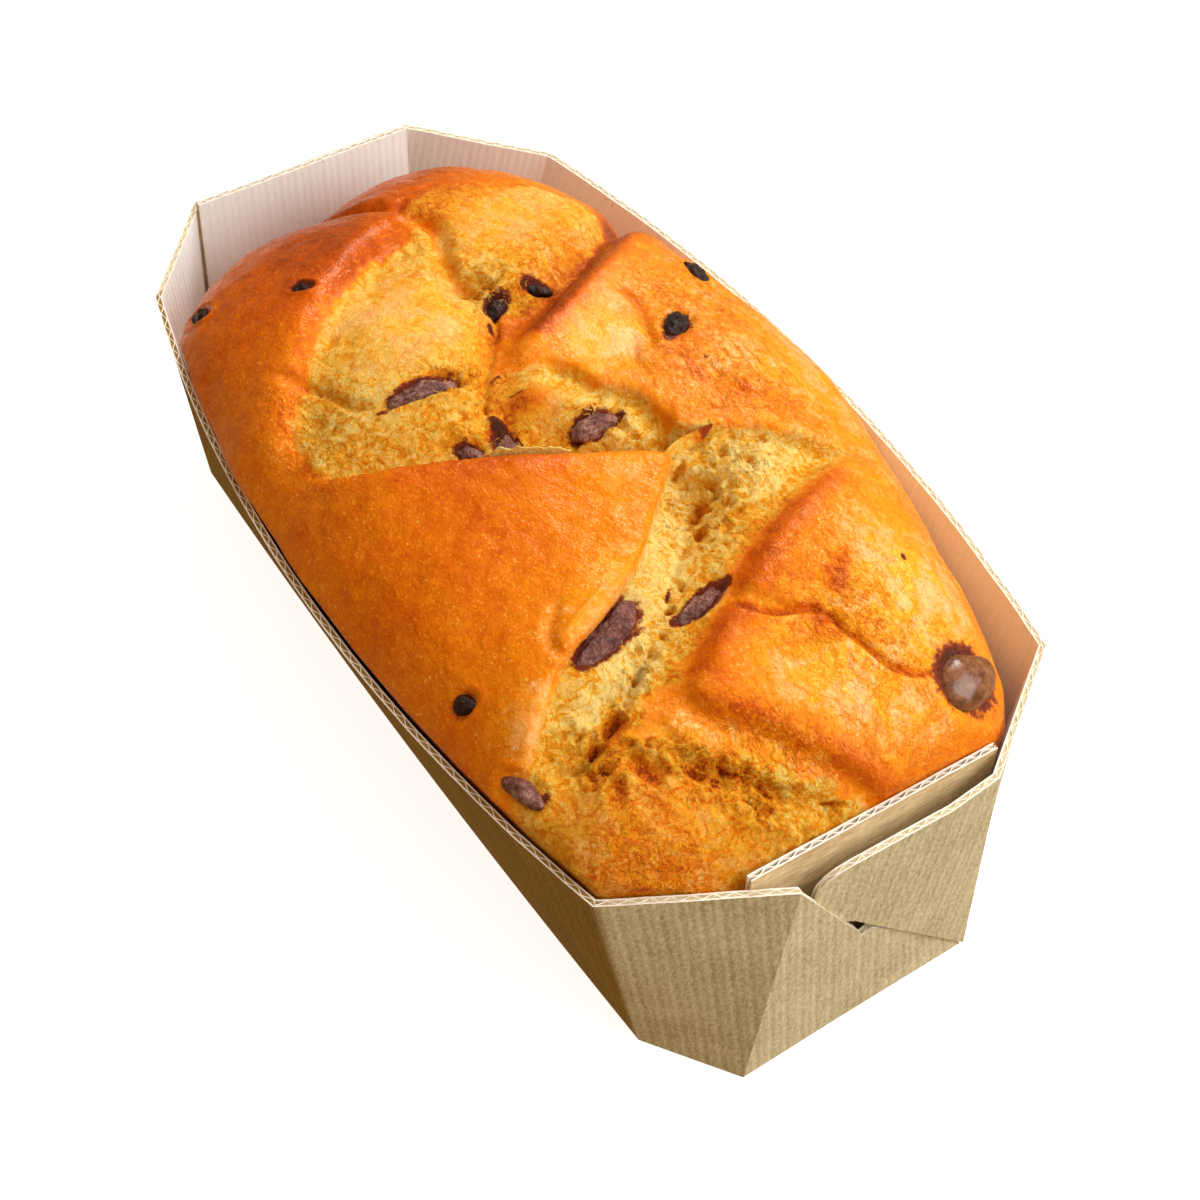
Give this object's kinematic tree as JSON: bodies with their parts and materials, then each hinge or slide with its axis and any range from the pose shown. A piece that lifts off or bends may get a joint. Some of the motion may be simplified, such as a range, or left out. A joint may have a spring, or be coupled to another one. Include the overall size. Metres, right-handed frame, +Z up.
{
  "type": "chocolate chip tin loaf",
  "caption": "Baked sweet bread loaf with torn, lobed crust and chocolate chips, standing in the folded corrugated paper case it was baked in.",
  "frame": {"origin": "middle of the object's bounding box in plan, at the underside of the paper case", "axes": "+X along the loaf towards its near end, +Y towards its right long side, +Z up"},
  "size_m": [0.1908, 0.1098, 0.074],
  "materials": {
    "bread": "satin baked crust with open yellow crumb in the tears",
    "board": "matt kraft paper over fine flutes",
    "chocolate": "half melted, satin"
  },
  "bodies": {
    "root": {"loaf": "bread", "paper_case": "board", "chip_big": "chocolate", "chip_lobe_edge": "chocolate", "chip_valley": "chocolate", "chip_middle": "chocolate", "chip_cleft": "chocolate", "chip_under_lobe": "chocolate", "chip_long": "chocolate", "chip_fold_low": "chocolate", "chip_fold_high": "chocolate", "chip_far_left": "chocolate", "chip_far_corner": "chocolate", "chip_right_lobe": "chocolate", "chip_right_side": "chocolate", "chip_under_skin": "chocolate", "chip_left_rim": "chocolate"}
  },
  "joints": []
}
